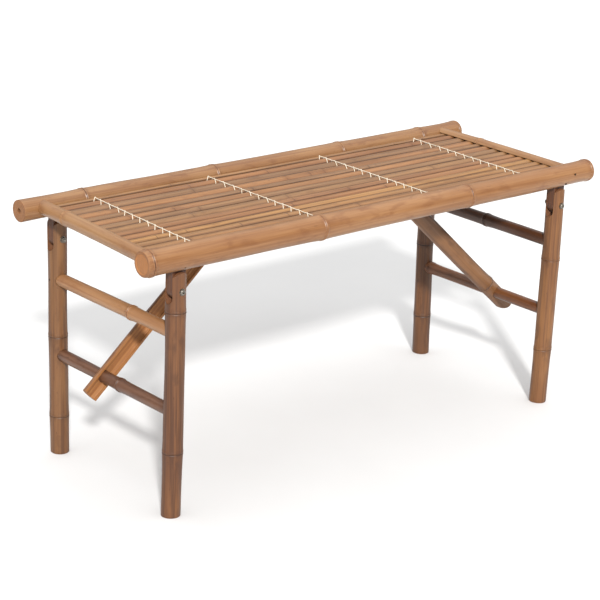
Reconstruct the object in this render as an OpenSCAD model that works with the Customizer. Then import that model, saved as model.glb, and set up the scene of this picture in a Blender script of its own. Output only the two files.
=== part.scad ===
// Folding bamboo picnic table.
// X runs along the top, Y across it, Z up. The origin is on the ground under the middle.

/* [Top frame] */
// Length of the two long rails
top_length = 1180; // [1100:5:1260]
// Distance between the axes of the long rails
rail_spacing = 405; // [395:1:420]
// Height of the long rails' axes above the ground
rail_height = 520; // [515:1:530]
// Radius of the front rail at its left end
front_rail_left_r = 24.5; // [24:0.5:26]
// Radius of the front rail at its right end
front_rail_right_r = 22.5; // [22:0.5:25]
// Radius of the back rail at its left end
back_rail_left_r = 22; // [21.5:0.5:24]
// Radius of the back rail at its right end
back_rail_right_r = 22.5; // [21.5:0.5:24]
// Radius of the hollow inside the front rail
front_rail_bore_r = 13; // [11:0.5:14]
// Radius of the hollow inside the back rail
back_rail_bore_r = 8; // [7:0.5:12]
// Radius of the end rails
end_rail_r = 14; // [13:0.5:15]
// Height of the end rails' axes above the long rails' axes
end_rail_rise = 4; // [3:0.5:5]
// Place of the left and right end rail along the top
end_rail_x = [-556, 531]; // [-560:1:560]
// Angle of the left and right end rail from square
end_rail_skew = [3.6, 0.4]; // [0:0.1:4]

/* [Slats and lashing] */
// Space between two slats
slat_gap = 2.4; // [2.2:0.1:2.6]
// Thickness of a slat at its crown
slat_thickness = 8.5; // [8:0.5:9]
// Radius of the slats' rounded upper side, as a share of their width
slat_crown = 0.87; // [0.8:0.01:1.2]
// Height of the slats' crowns above the long rails' axes
slat_rise = 9; // [8.5:0.5:9.5]
// Radius of the cross bars under the slats
cross_bar_r = 6; // [5.5:0.1:6]
// Place of each lashing line along the top
lash_x = [-443, -152, 150, 424]; // [-480:1:480]
// Angle of each lashing line from square
lash_skew = [3.3, 0.3, 0.5, 2.3]; // [0:0.1:4]
// Radius of the lashing cord
cord_r = 0.95; // [0.8:0.05:1]

/* [Legs] */
// Distance of the leg axes from the middle of the top
leg_x = 506.6; // [500:0.2:510]
// Distance between the axes of the two legs of one pair
leg_spacing = 389; // [386:1:392]
// Radius of the legs
leg_r = 19.5; // [19:0.5:20]
// Radius of the hollow inside the legs
leg_bore_r = 10; // [8:0.5:10.5]
// Height of the hinge bolts above the ground
pivot_height = 455; // [450:1:458]
// Height of the lower rungs
lower_rung_height = 212; // [208:1:216]
// Height of the upper rungs
upper_rung_height = 370; // [360:1:376]
// Radius of the lower rungs
lower_rung_r = 12.5; // [12:0.1:12.5]
// Radius of the upper rungs
upper_rung_r = 13.5; // [12.5:0.5:13.5]

/* [Hinges] */
// Width of the slot sawn in each leg
slot_width = 22; // [22:0.2:23]
// Thickness of the hinge tongues
tongue_thickness = 20; // [19:0.2:20]
// Width of the hinge tongues
tongue_width = 32; // [30:0.5:33]
// Radius of the hinge bolts
bolt_r = 3; // [2.5:0.1:3]
// Radial clearance of the bolts in the tongues
bolt_clearance = 0.1; // [0.05:0.01:0.1]

/* [Braces] */
// Angle of the braces above the horizontal when they are hooked in
brace_angle = 41.6; // [41:0.1:42]
// Outer radius of the culm that the braces are split from
brace_r = 19.5; // [19:0.1:19.5]
// Width of the sawn face beside the braces' hollow
brace_wall = 6.5; // [6:0.1:7]
// Depth of the hollow in the braces' sawn faces
brace_hollow = 7; // [5:0.5:12]
// Distance of the braces' sawn faces from the middle of the table
brace_offset = 28; // [26:1:34]
// Length of a brace above its rung
brace_reach = 440; // [438:0.5:440]
// Length of the left and right brace below its rung
brace_tail = [47, 58]; // [44:1:60]
// Radius of the catch bars
catch_bar_r = 8; // [7.5:0.1:8]

/* [Hidden] */
$fn = 64;
rail_y = rail_spacing / 2;
leg_y = leg_spacing / 2;

// Growth rings: how far they stand out and how long they are along the culm
ring_rise = 1.2;
ring_half = 4;
front_rail_rings = [-579, -174, 223, 581];
back_rail_rings = [-445, -117, 229, 470, 581];

// Slats: they are split by hand, so no two are quite as wide. The lines run between them.
slat_count = 14;
slat_side_gap = slat_gap / 2;
slat_front_y = -rail_y + front_rail_left_r + slat_side_gap;
slat_back_y = rail_y - back_rail_right_r - slat_side_gap;
slat_lines = concat(
    [slat_front_y],
    [-159, -132.5, -107.5, -84, -57.5, -33.5, -5, 21, 48.5, 71.5, 104, 136, 163],
    [slat_back_y]
);
slat_top_z = rail_height + slat_rise;
slat_under_z = slat_top_z - slat_thickness;
slat_hollow_rise = 1.5;
slat_seat_depth = 3.5;
end_rail_z = rail_height + end_rail_rise;
groove_start = 2;
groove_play = 1;
function slat_y(i) = (slat_lines[i] + slat_lines[i + 1]) / 2;
function slat_width(i) = slat_lines[i + 1] - slat_lines[i] - slat_gap;
function end_rail_at(side, y) = end_rail_x[side] + y * tan(end_rail_skew[side]);

// Bars under the slats
cross_bar_z = slat_under_z - cross_bar_r;
cross_bar_half = rail_y - 12.5;
catch_bar_z = 506;
catch_bar_half = rail_y - 6.5;

// Lashing cord: one stitch goes over a slat, down the gap and round the cross bar
cord_sides = 8;
stitch_slant = 3.5;
stitch_lift = 0.95;
stitch_dip = 1.5;
loop_half = cross_bar_r + 2.8;
loop_side_drop = 2.5;
loop_bottom_drop = cross_bar_r + 3.2;
cord_reference = [-1, -1, 1];

// Fork and tongue of a hinge
fork_round_z = 472;
slot_floor_z = 441;
leg_plug_z = 420;
tongue_top_z = rail_height - 9;
washer_r = 6.5;
washer_t = 1.2;
spot_face_r = 7;
spot_face_y = leg_r - 0.8;
bolt_head_r = 5.6;
bolt_head_h = 3.6;
nut_h = 5;
thread_end = 2;
rung_half = leg_y + 10;

// Nails
nail_r = 1.4;
nail_head_r = 2.2;
nail_head_h = 1;

// Braces: the catch bar's centre is this far inside the brace's upper edge
catch_inset = 2;
catch_clearance = 0.4;
notch_slant = 28;
lip_height = 9.5;
rung_clearance = 0.3;
brace_node_s = [140, 30];
brace_node_t = 5;
catch_rise = catch_bar_z - lower_rung_height;
catch_across = brace_r - catch_inset;
catch_run = (catch_rise * cos(brace_angle) - catch_across) / sin(brace_angle);
catch_along = catch_run * cos(brace_angle) + catch_rise * sin(brace_angle);
catch_bar_x = leg_x - catch_run;

// ---------- shared shapes ----------

// Radius of a tapering culm at a distance from its start
function taper(at, length, r_start, r_end) = r_start + (r_end - r_start) * at / length;

// Outline of a culm with a raised ring at each given place
function culm_outline(length, r_start, r_end, rings) = concat(
    [[0, 0], [r_start, 0]],
    [for (at = rings) each let (r = taper(at, length, r_start, r_end)) [
        [r, at - ring_half],
        [r + ring_rise, at - 1],
        [r + ring_rise, at + 1],
        [r, at + ring_half]
    ]],
    [[r_end, length], [0, length]]
);

// A solid culm standing on the origin
module culm(length, r_start, r_end, rings) {
    rotate_extrude()
        polygon(culm_outline(length, r_start, r_end, rings));
}

// A solid culm along Y, centred on the origin, with rings at given y
module cross_culm(half, r, rings) {
    rotate([-90, 0, 0])
        translate([0, 0, -half])
            culm(2 * half, r, r, [for (y = rings) y + half]);
}

// A plain round bar along Y, centred on the origin
module bar_y(half, r) {
    rotate([90, 0, 0])
        cylinder(h = 2 * half, r = r, center = true);
}

// Turns the left half's shapes into the right half's
module to_right() {
    rotate([0, 0, 180])
        children();
}

// ---------- top frame ----------

module front_rail_culm() {
    translate([-top_length / 2, -rail_y, rail_height])
        rotate([0, 90, 0])
            culm(top_length, front_rail_left_r, front_rail_right_r,
                [for (x = front_rail_rings) x + top_length / 2]);
}

module back_rail_culm() {
    translate([-top_length / 2, rail_y, rail_height])
        rotate([0, 90, 0])
            culm(top_length, back_rail_left_r, back_rail_right_r,
                [for (x = back_rail_rings) x + top_length / 2]);
}

// Everything that is let into a long rail
module rail_sockets() {
    for (i = [0 : 3])
        cross_bar_shape(i);
    catch_bar_shape(-1);
    catch_bar_shape(1);
    for (sx = [-1, 1], sy = [-1, 1])
        tongue_shank(sx, sy);
    corner_nails_shape();
    tongue_nails_shape();
}

// The front rail's left end is closed by a growth node, so its hollow starts behind it
module long_rail_front() {
    closed_end = 14;
    color("burlywood")
        difference() {
            front_rail_culm();
            translate([-top_length / 2 + closed_end, -rail_y, rail_height])
                rotate([0, 90, 0])
                    cylinder(h = top_length, r = front_rail_bore_r);
            rail_sockets();
        }
}

module long_rail_back() {
    color("burlywood")
        difference() {
            back_rail_culm();
            translate([-top_length / 2 - 1, rail_y, rail_height])
                rotate([0, 90, 0])
                    cylinder(h = top_length + 2, r = back_rail_bore_r);
            rail_sockets();
        }
}

// An end rail, side 0 left and 1 right, grooved on its inner side for the slat ends
module end_rail(side) {
    inward = side == 0 ? 1 : -1;
    groove_h = slat_thickness + 2 * groove_play;
    color("tan")
        difference() {
            translate([end_rail_x[side], 0, end_rail_z])
                rotate([0, 0, -end_rail_skew[side]])
                    difference() {
                        cross_culm(rail_y, end_rail_r, [side == 0 ? 92 : 62]);
                        translate([
                            inward > 0 ? groove_start : -groove_start - end_rail_r,
                            -rail_y,
                            slat_under_z - groove_play - end_rail_z
                        ])
                            cube([end_rail_r, rail_spacing, groove_h]);
                    }
            front_rail_culm();
            back_rail_culm();
            corner_nails_shape();
        }
}

// ---------- slats and lashing ----------

// A strip split from a thick culm: rounded above, slightly hollow below
module slat(i) {
    y = slat_y(i);
    width = slat_width(i);
    crown_r = slat_crown * width;
    x_start = end_rail_at(0, y) + slat_seat_depth;
    x_end = end_rail_at(1, y) - slat_seat_depth;
    length = x_end - x_start;
    crown_axis_z = slat_top_z - crown_r;
    hollow_r = crown_r - slat_thickness + slat_hollow_rise;
    color([0.80, 0.66 - 0.03 * (i % 3), 0.47 - 0.03 * (i % 2)])
        difference() {
            intersection() {
                translate([x_start, y, crown_axis_z])
                    rotate([0, 90, 0])
                        cylinder(h = length, r = crown_r, $fn = 96);
                translate([x_start - 1, y - width / 2, slat_under_z])
                    cube([length + 2, width, slat_thickness + 1]);
            }
            translate([x_start - 1, y, crown_axis_z])
                rotate([0, 90, 0])
                    cylinder(h = length + 2, r = hollow_r, $fn = 96);
        }
}

module cross_bar_shape(i) {
    translate([lash_x[i], 0, cross_bar_z])
        rotate([0, 0, -lash_skew[i]])
            bar_y(cross_bar_half, cross_bar_r);
}

module cross_bar(i) {
    color("peru")
        cross_bar_shape(i);
}

// A point of the cord: u across the lashing line, y along it, z up
function cord_point(i, u, y, z) = [lash_x[i] + y * tan(lash_skew[i]) + u, y, z];

function loop_bottom(i, y) = cord_point(i, 0, y, cross_bar_z - loop_bottom_drop);

// One stitch: up the gap before the slat, over its crown, down the next gap, under the bar
function stitch(i, k) =
    let (gap_before = slat_lines[k])
    let (gap_after = slat_lines[k + 1])
    let (side_z = cross_bar_z - loop_side_drop)
    let (gap_z = slat_top_z - stitch_dip)
    let (crown_z = slat_top_z + cord_r + stitch_lift)
    [
        cord_point(i, loop_half, gap_before, side_z),
        cord_point(i, stitch_slant, gap_before, gap_z),
        cord_point(i, 0, slat_y(k), crown_z),
        cord_point(i, -stitch_slant, gap_after, gap_z),
        cord_point(i, -loop_half, gap_after, side_z),
        loop_bottom(i, gap_after)
    ];

function cord_route(i) = concat(
    [loop_bottom(i, slat_lines[0])],
    [for (k = [0 : slat_count - 1]) each stitch(i, k)]
);

function unit(v) = v / norm(v);

function cord_ring(before, at, after) =
    let (along = unit(after - before))
    let (a = unit(cross(cord_reference, along)))
    let (b = cross(along, a))
    [for (k = [0 : cord_sides - 1])
        let (angle = 360 * k / cord_sides)
        at + cord_r * (cos(angle) * a + sin(angle) * b)];

module sweep_cord(route) {
    last = len(route) - 1;
    points = [for (j = [0 : last])
        each cord_ring(route[max(j - 1, 0)], route[j], route[min(j + 1, last)])];
    walls = [for (j = [0 : last - 1], k = [0 : cord_sides - 1])
        let (next = (k + 1) % cord_sides)
        let (low = j * cord_sides)
        let (high = low + cord_sides)
        each [[low + k, high + k, high + next], [low + k, high + next, low + next]]];
    start_cap = [[for (k = [0 : cord_sides - 1]) k]];
    end_cap = [[for (k = [0 : cord_sides - 1]) (last + 1) * cord_sides - 1 - k]];
    polyhedron(points = points, faces = concat(walls, start_cap, end_cap), convexity = 10);
}

module lashing_cord(i) {
    color("ivory")
        sweep_cord(cord_route(i));
}

// ---------- catch bars ----------

module catch_bar_shape(sx) {
    translate([sx * catch_bar_x, 0, catch_bar_z])
        bar_y(catch_bar_half, catch_bar_r);
}

module catch_bar(sx) {
    color("peru")
        catch_bar_shape(sx);
}

// ---------- hinge tongues ----------

// The upper part of a tongue, which is let into the rail
module tongue_shank(sx, sy) {
    translate([
        sx * leg_x - tongue_width / 2,
        sy * leg_y - tongue_thickness / 2,
        pivot_height
    ])
        cube([tongue_width, tongue_thickness, tongue_top_z - pivot_height]);
}

module hinge_tongue(sx, sy) {
    color("sienna")
        difference() {
            union() {
                tongue_shank(sx, sy);
                translate([sx * leg_x, sy * leg_y, pivot_height])
                    bar_y(tongue_thickness / 2, tongue_width / 2);
            }
            translate([sx * leg_x, sy * leg_y, pivot_height])
                bar_y(tongue_thickness, bolt_r + bolt_clearance);
            tongue_nails_shape();
        }
}

// ---------- nails in the top ----------

// A nail along Y that enters at y = 0 and points to +Y
module nail(length) {
    rotate([-90, 0, 0])
        cylinder(h = length, r = nail_r, $fn = 24);
    rotate([-90, 0, 0])
        cylinder(h = nail_head_h, r = nail_head_r, $fn = 24);
}

// One nail through each long rail along the axis of each end rail, at both ends
module corner_nails_shape() {
    length = 72;
    front = rail_y + front_rail_left_r - 1;
    back = rail_y + back_rail_left_r - 1;
    for (side = [0, 1])
        translate([end_rail_x[side], 0, end_rail_z])
            rotate([0, 0, -end_rail_skew[side]]) {
                translate([0, -front, 0])
                    nail(length);
                translate([0, back, 0])
                    rotate([0, 0, 180])
                        nail(length);
            }
}

module corner_nails() {
    color("dimgray")
        corner_nails_shape();
}

// One nail through the rail's outer wall into each tongue
module tongue_nails_shape() {
    length = 34;
    nail_z = rail_height - 15;
    for (sx = [-1, 1]) {
        translate([sx * leg_x, -rail_y - 19.5, nail_z])
            nail(length);
        translate([sx * leg_x, rail_y + 16, nail_z])
            rotate([0, 0, 180])
                nail(length);
    }
}

module tongue_nails() {
    color("dimgray")
        tongue_nails_shape();
}

// ---------- leg frames, modelled for the left side ----------

module rung_shape(z, r, rings) {
    translate([-leg_x, 0, z])
        cross_culm(rung_half, r, rings);
}

module upper_rung(ring_y) {
    color("tan")
        difference() {
            rung_shape(upper_rung_height, upper_rung_r, [ring_y]);
            rung_nails_shape();
        }
}

module lower_rung(ring_y) {
    color("saddlebrown")
        difference() {
            rung_shape(lower_rung_height, lower_rung_r, [ring_y]);
            rung_nails_shape();
        }
}

// One short nail through each leg into each rung end
module rung_nails_shape() {
    length = 26;
    for (z = [lower_rung_height, upper_rung_height], sy = [-1, 1])
        translate([-leg_x - leg_r + 0.5, sy * leg_y, z])
            rotate([0, 0, -90])
                nail(length);
}

module rung_nails() {
    color("dimgray")
        rung_nails_shape();
}

// A leg: rounded top, slot for the tongue, hollow below a growth node
module leg(sy, rings) {
    color("peru")
        difference() {
            translate([-leg_x, sy * leg_y, 0])
                difference() {
                    intersection() {
                        culm(fork_round_z + leg_r, leg_r, leg_r, rings);
                        union() {
                            translate([-leg_r * 2, -leg_r * 2, -1])
                                cube([leg_r * 4, leg_r * 4, fork_round_z + 1]);
                            translate([0, 0, fork_round_z])
                                bar_y(leg_r * 2, leg_r);
                        }
                    }
                    translate([-leg_r * 2, -slot_width / 2, slot_floor_z])
                        cube([leg_r * 4, slot_width, fork_round_z]);
                    translate([0, 0, slot_floor_z])
                        rotate([0, 90, 0])
                            cylinder(h = leg_r * 4, r = slot_width / 2, center = true);
                    translate([0, 0, -1])
                        cylinder(h = leg_plug_z + 1, r = leg_bore_r);
                    translate([0, 0, pivot_height])
                        bar_y(leg_r * 2, bolt_r);
                    for (s = [-1, 1])
                        translate([0, s * (spot_face_y + leg_r / 2), pivot_height])
                            bar_y(leg_r / 2, spot_face_r);
                }
            rung_shape(upper_rung_height, upper_rung_r, []);
            rung_shape(lower_rung_height, lower_rung_r, []);
            rung_nails_shape();
        }
}

// A hinge bolt, head outwards: sy is the leg it belongs to
module pivot_bolt(sy) {
    head_y = spot_face_y + washer_t;
    shank_end = head_y + nut_h + thread_end;
    color("silver")
        translate([-leg_x, sy * leg_y, pivot_height])
            rotate([sy > 0 ? 90 : -90, 0, 0]) {
                translate([0, 0, -head_y])
                    cylinder(h = head_y + shank_end, r = bolt_r, $fn = 32);
                translate([0, 0, -head_y - bolt_head_h])
                    cylinder(h = bolt_head_h, r = bolt_head_r, $fn = 6);
            }
}

module pivot_nuts() {
    nut_y = spot_face_y + washer_t;
    color("silver")
        for (sy = [-1, 1])
            translate([-leg_x, sy * (leg_y - nut_y), pivot_height])
                rotate([sy > 0 ? 90 : -90, 0, 0])
                    difference() {
                        cylinder(h = nut_h, r = bolt_head_r, $fn = 6);
                        translate([0, 0, -1])
                            cylinder(h = nut_h + 2, r = bolt_r, $fn = 32);
                    }
}

module pivot_washers() {
    color("lightgray")
        for (sy = [-1, 1], s = [-1, 1])
            translate([-leg_x, sy * leg_y, pivot_height])
                rotate([90, 0, 0])
                    translate([0, 0, s > 0 ? spot_face_y : -spot_face_y - washer_t])
                        difference() {
                            cylinder(h = washer_t, r = washer_r, $fn = 32);
                            translate([0, 0, -1])
                                cylinder(h = washer_t + 2, r = bolt_r, $fn = 32);
                        }
}

// ---------- braces, modelled for the left side ----------

// Half a culm along X, sawn face towards -Y, with one growth node across its shallow hollow
module split_culm(start, end, node_at) {
    half = brace_r - brace_wall;
    hollow_r = (half * half + brace_hollow * brace_hollow) / (2 * brace_hollow);
    difference() {
        translate([start, 0, 0])
            rotate([0, 90, 0])
                cylinder(h = end - start, r = brace_r);
        translate([start - 1, brace_hollow - hollow_r, 0])
            rotate([0, 90, 0])
                cylinder(h = node_at - start + 1, r = hollow_r);
        translate([node_at + brace_node_t, brace_hollow - hollow_r, 0])
            rotate([0, 90, 0])
                cylinder(h = end - node_at, r = hollow_r);
        translate([start - 1, -2 * brace_r, -2 * brace_r])
            cube([end - start + 2, 2 * brace_r, 4 * brace_r]);
    }
}

// Room for the catch bar, open towards the way it leaves
module catch_notch() {
    r = catch_bar_r + catch_clearance;
    translate([catch_along, 0, catch_across])
        rotate([0, notch_slant, 0]) {
            bar_y(brace_r * 2, r);
            translate([-r, -brace_r * 2, 0])
                cube([2 * r, brace_r * 4, brace_r * 2]);
        }
}

module brace(side) {
    tail = brace_tail[side];
    round_end = side == 1;
    color("chocolate")
        translate([-leg_x, brace_offset, lower_rung_height])
            rotate([0, -brace_angle, 0])
                difference() {
                    split_culm(-tail, brace_reach, brace_node_s[side]);
                    bar_y(brace_r * 3, lower_rung_r + rung_clearance);
                    catch_notch();
                    translate([catch_along + catch_bar_r / 2, -brace_r, lip_height])
                        cube([brace_reach, brace_r * 3, brace_r]);
                    if (round_end)
                        difference() {
                            translate([-tail - 1, -1, -brace_r * 2])
                                cube([brace_r + 1, brace_r * 2, brace_r * 4]);
                            translate([brace_r - tail, 0, 0])
                                bar_y(brace_r * 3, brace_r);
                        }
                }
}

long_rail_front();
long_rail_back();
end_rail(0);  // end_rail_left
end_rail(1);  // end_rail_right
slat(0);  // slat_01
slat(1);  // slat_02
slat(2);  // slat_03
slat(3);  // slat_04
slat(4);  // slat_05
slat(5);  // slat_06
slat(6);  // slat_07
slat(7);  // slat_08
slat(8);  // slat_09
slat(9);  // slat_10
slat(10);  // slat_11
slat(11);  // slat_12
slat(12);  // slat_13
slat(13);  // slat_14
cross_bar(0);  // cross_bar_1
cross_bar(1);  // cross_bar_2
cross_bar(2);  // cross_bar_3
cross_bar(3);  // cross_bar_4
lashing_cord(0);  // lashing_cord_1
lashing_cord(1);  // lashing_cord_2
lashing_cord(2);  // lashing_cord_3
lashing_cord(3);  // lashing_cord_4
catch_bar(-1);  // catch_bar_left
catch_bar(1);  // catch_bar_right
hinge_tongue(-1, -1);  // hinge_tongue_front_left
hinge_tongue(-1, 1);  // hinge_tongue_back_left
hinge_tongue(1, -1);  // hinge_tongue_front_right
hinge_tongue(1, 1);  // hinge_tongue_back_right
corner_nails();
tongue_nails();
leg(-1, [129, 411]);  // leg_front_left
leg(1, [78, 248]);  // leg_back_left
upper_rung(-61);  // upper_rung_left
lower_rung(-26);  // lower_rung_left
pivot_bolt(-1);  // pivot_bolt_front_left
pivot_bolt(1);  // pivot_bolt_back_left
pivot_nuts();  // pivot_nuts_left
pivot_washers();  // pivot_washers_left
rung_nails();  // rung_nails_left
to_right() leg(1, [122, 330]);  // leg_front_right
to_right() leg(-1, [90, 264]);  // leg_back_right
to_right() upper_rung(1);  // upper_rung_right
to_right() lower_rung(-165);  // lower_rung_right
to_right() pivot_bolt(1);  // pivot_bolt_front_right
to_right() pivot_bolt(-1);  // pivot_bolt_back_right
to_right() pivot_nuts();  // pivot_nuts_right
to_right() pivot_washers();  // pivot_washers_right
to_right() rung_nails();  // rung_nails_right
brace(0);  // brace_left
to_right() brace(1);  // brace_right
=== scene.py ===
"""Looks of the folding bamboo picnic table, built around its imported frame. Metres throughout."""

import math

import bmesh
import bpy
import numpy as np
from mathutils import Matrix, Vector


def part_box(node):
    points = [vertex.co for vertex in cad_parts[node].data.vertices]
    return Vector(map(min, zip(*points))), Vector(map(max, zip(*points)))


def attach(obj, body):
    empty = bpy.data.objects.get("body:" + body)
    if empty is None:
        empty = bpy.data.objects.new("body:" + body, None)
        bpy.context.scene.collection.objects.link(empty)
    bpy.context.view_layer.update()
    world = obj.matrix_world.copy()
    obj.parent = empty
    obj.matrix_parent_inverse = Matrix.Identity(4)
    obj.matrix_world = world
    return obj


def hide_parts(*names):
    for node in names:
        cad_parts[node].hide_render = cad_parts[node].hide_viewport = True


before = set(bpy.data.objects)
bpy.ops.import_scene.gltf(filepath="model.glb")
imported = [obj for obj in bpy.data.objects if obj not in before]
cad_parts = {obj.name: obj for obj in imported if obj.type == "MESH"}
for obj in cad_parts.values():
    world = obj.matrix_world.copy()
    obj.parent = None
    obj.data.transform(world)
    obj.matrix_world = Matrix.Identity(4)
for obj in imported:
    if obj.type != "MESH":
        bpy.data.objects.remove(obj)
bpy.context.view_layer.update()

X = Vector((1, 0, 0))
Y = Vector((0, 1, 0))
Z = Vector((0, 0, 1))

# ---------- sizes that the frame's boxes don't tell ----------

# Long rails: radius at the left and right end, growth rings along X
FRONT_RAIL_RADII = (0.0245, 0.0225)
BACK_RAIL_RADII = (0.022, 0.0225)
FRONT_RAIL_RINGS = (-0.579, -0.174, 0.223, 0.581)
BACK_RAIL_RINGS = (-0.445, -0.117, 0.229, 0.470, 0.581)
END_RAIL_RADIUS = 0.014
END_RAIL_SKEW = {"left": 3.6, "right": 0.4}
END_RAIL_RING = {"left": 0.092, "right": 0.062}
JOINT_GAP = 0.0007

# Slats: crown radius as a share of the width, thickness, and the groove for their ends
SLAT_CROWN = 0.87
SLAT_THICKNESS = 0.0085
SLAT_HOLLOW = 0.0015
SLAT_EDGE = 0.0007
GROOVE_START = 0.002
GROOVE_PLAY = 0.001

# Lashing: skew of each line in degrees, thickness of the cord
LASH_SKEW = (3.3, 0.3, 0.5, 2.3)
CORD_RADIUS = 0.00095
CORD_PITCH = 0.0052
CORD_STEP = 0.0006
LINE_HALF = 0.0012

# Legs: rings above the ground, fork, hollow
LEG_RADIUS = 0.0195
LEG_STOCK = 0.4915
LEG_BORE = 0.010
LEG_RINGS = {
    "front_left": (0.129, 0.411),
    "back_left": (0.078, 0.248),
    "front_right": (0.122, 0.330),
    "back_right": (0.090, 0.264),
}
LEG_LEAN = 0.006
LEG_LEAN_START = 0.35
SLOT_HALF = 0.011
SLOT_FLOOR = 0.441
FORK_ROUND = 0.472
SPOT_FACE_RADIUS = 0.007
SPOT_FACE = 0.0187
TONGUE_HALF = (0.016, 0.010)
TONGUE_PLAY = 0.0002

# Rungs: radius, and the ring along Y
RUNG_RADIUS = {"upper": 0.0135, "lower": 0.0125}
RUNG_BOW = {"upper": 0.0006, "lower": 0.0001}
RUNG_RING = {
    ("upper", "left"): -0.061,
    ("lower", "left"): -0.026,
    ("upper", "right"): -0.001,
    ("lower", "right"): 0.165,
}

# Braces: half a culm, hooked on the catch bar
BRACE_ANGLE = math.radians(41.6)
BRACE_RADIUS = 0.0195
BRACE_WALL = 0.0065
BRACE_OFFSET = 0.028
BRACE_REACH = 0.440
BRACE_TAIL = {"left": 0.047, "right": 0.058}
BRACE_NODE = {"left": 0.140, "right": 0.030}
BRACE_NODE_THICK = 0.005
BRACE_HOLLOW = 0.007
CATCH_ALONG = 0.4231
CATCH_ACROSS = 0.0175
CATCH_ROOM = 0.0084
NOTCH_SLANT = math.radians(28)
LIP_HEIGHT = 0.0095

# Bolts: distances from the leg's axis
BOLT_RADIUS = 0.003
BOLT_SEAT = 0.0199
BOLT_HEAD = 0.0036
BOLT_END = 0.0269
HEX_RADIUS = 0.0056
NUT_HEIGHT = 0.005

# Ends: how near to a culm's ends its skin rows come, and how far cutters reach past a piece
END_MARGIN = 0.0009
THROUGH = 0.03

# ---------- mesh building ----------


def loft(grid, slots, matrix=None):
    """Vertices, faces and slots of a closed skin over rows of points, with a cap on each end row."""
    rows, sides = grid.shape[:2]
    points = grid.reshape(-1, 3)
    index = np.arange(rows * sides).reshape(rows, sides)
    low, high = index[:-1], index[1:]
    quads = np.stack([low, np.roll(low, -1, 1), np.roll(high, -1, 1), high], axis=-1)
    faces = quads.reshape(-1, 4).tolist()
    faces.append(index[0][::-1].tolist())
    faces.append(index[-1].tolist())
    face_slots = np.broadcast_to(slots, (rows - 1, sides)).reshape(-1).tolist() + [1, 1]
    if matrix is not None:
        turn = np.array(matrix.to_3x3())
        points = points @ turn.T + np.array(matrix.translation)
    return points, faces, face_slots


def link(name, data):
    thing = bpy.data.objects.new(name, data)
    bpy.context.scene.collection.objects.link(thing)
    return thing


def make_piece(name, parts, materials, matrix=None, sharp=38):
    """One object from the given lofts."""
    points, faces, slots = [], [], []
    for part_points, part_faces, part_slots in parts:
        start = len(points)
        points.extend(part_points.tolist())
        faces.extend([[start + i for i in face] for face in part_faces])
        slots.extend(part_slots)
    mesh = bpy.data.meshes.new(name)
    mesh.from_pydata(points, [], faces)
    mesh.polygons.foreach_set("material_index", slots)
    for material in materials:
        mesh.materials.append(material)
    piece = link(name, mesh)
    if matrix is not None:
        piece.matrix_world = matrix
    smooth(piece, sharp)
    return piece


def smooth(piece, sharp):
    piece.data.shade_smooth()
    piece.data.set_sharp_from_angle(angle=math.radians(sharp))


def placed(origin, along, side):
    """The matrix that stands a piece on origin, its own Z along the culm and its own X to the side."""
    z = Vector(along).normalized()
    y = z.cross(Vector(side)).normalized()
    x = y.cross(z)
    matrix = Matrix((x, y, z)).transposed().to_4x4()
    matrix.translation = Vector(origin)
    return matrix


def finish_piece(piece, body, slot, *nodes):
    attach(piece, body)
    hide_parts(*nodes)
    return piece


def middle(node):
    low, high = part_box(node)
    return (low + high) / 2


def prism(name, outline, axis, low, high):
    """A cutter: an outline swept along an axis from low to high. Its corners run in the other two axes."""
    first, second = [i for i in range(3) if i != axis]
    grid = np.zeros((2, len(outline), 3))
    for row, at in enumerate((low, high)):
        grid[row, :, first] = [p[0] for p in outline]
        grid[row, :, second] = [p[1] for p in outline]
        grid[row, :, axis] = at
    points, faces, _ = loft(grid, 1)
    mesh = bpy.data.meshes.new(name)
    mesh.from_pydata(points.tolist(), [], faces)
    return link(name, mesh)


def circle(centre, radius, count=40, start=0.0, turn=2 * math.pi):
    closed = abs(turn - 2 * math.pi) < 1e-6
    steps = count if closed else count - 1
    angles = [start + turn * i / steps for i in range(count)]
    return [(centre[0] + radius * math.cos(a), centre[1] + radius * math.sin(a)) for a in angles]


def box_outline(low, high):
    return [(low[0], low[1]), (high[0], low[1]), (high[0], high[1]), (low[0], high[1])]


def fix_normals(cutter):
    work = bmesh.new()
    work.from_mesh(cutter.data)
    bmesh.ops.recalc_face_normals(work, faces=work.faces)
    work.to_mesh(cutter.data)
    work.free()


def cut(piece, cutters, sharp=38):
    """Takes the cutters away from the piece; the new faces get the piece's second material."""
    for cutter in cutters:
        fix_normals(cutter)
        cutter.data.materials.clear()
        for material in piece.data.materials:
            cutter.data.materials.append(material)
        cutter.data.polygons.foreach_set("material_index", [1] * len(cutter.data.polygons))
        change = piece.modifiers.new("cut", "BOOLEAN")
        change.operation = "DIFFERENCE"
        change.solver = "EXACT"
        change.material_mode = "INDEX"
        change.object = cutter
    bpy.context.view_layer.update()
    graph = bpy.context.evaluated_depsgraph_get()
    mesh = bpy.data.meshes.new_from_object(piece.evaluated_get(graph))
    piece.modifiers.clear()
    piece.data = mesh
    for cutter in cutters:
        bpy.data.objects.remove(cutter)
    smooth(piece, sharp)
    return piece


# ---------- culms ----------


def ring_height(past):
    """Height of a growth ring over its culm at a distance past it: swelling, ridge, groove, lip."""
    swell = 0.0008 * np.exp(-((past / 0.018) ** 2))
    ridge = 0.0010 * np.exp(-((past / 0.0010) ** 2))
    groove = -0.0006 * np.exp(-(((past - 0.0022) / 0.0009) ** 2))
    lip = 0.0009 * np.exp(-(((past - 0.005) / 0.0026) ** 2))
    return swell + ridge + groove + lip


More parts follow.
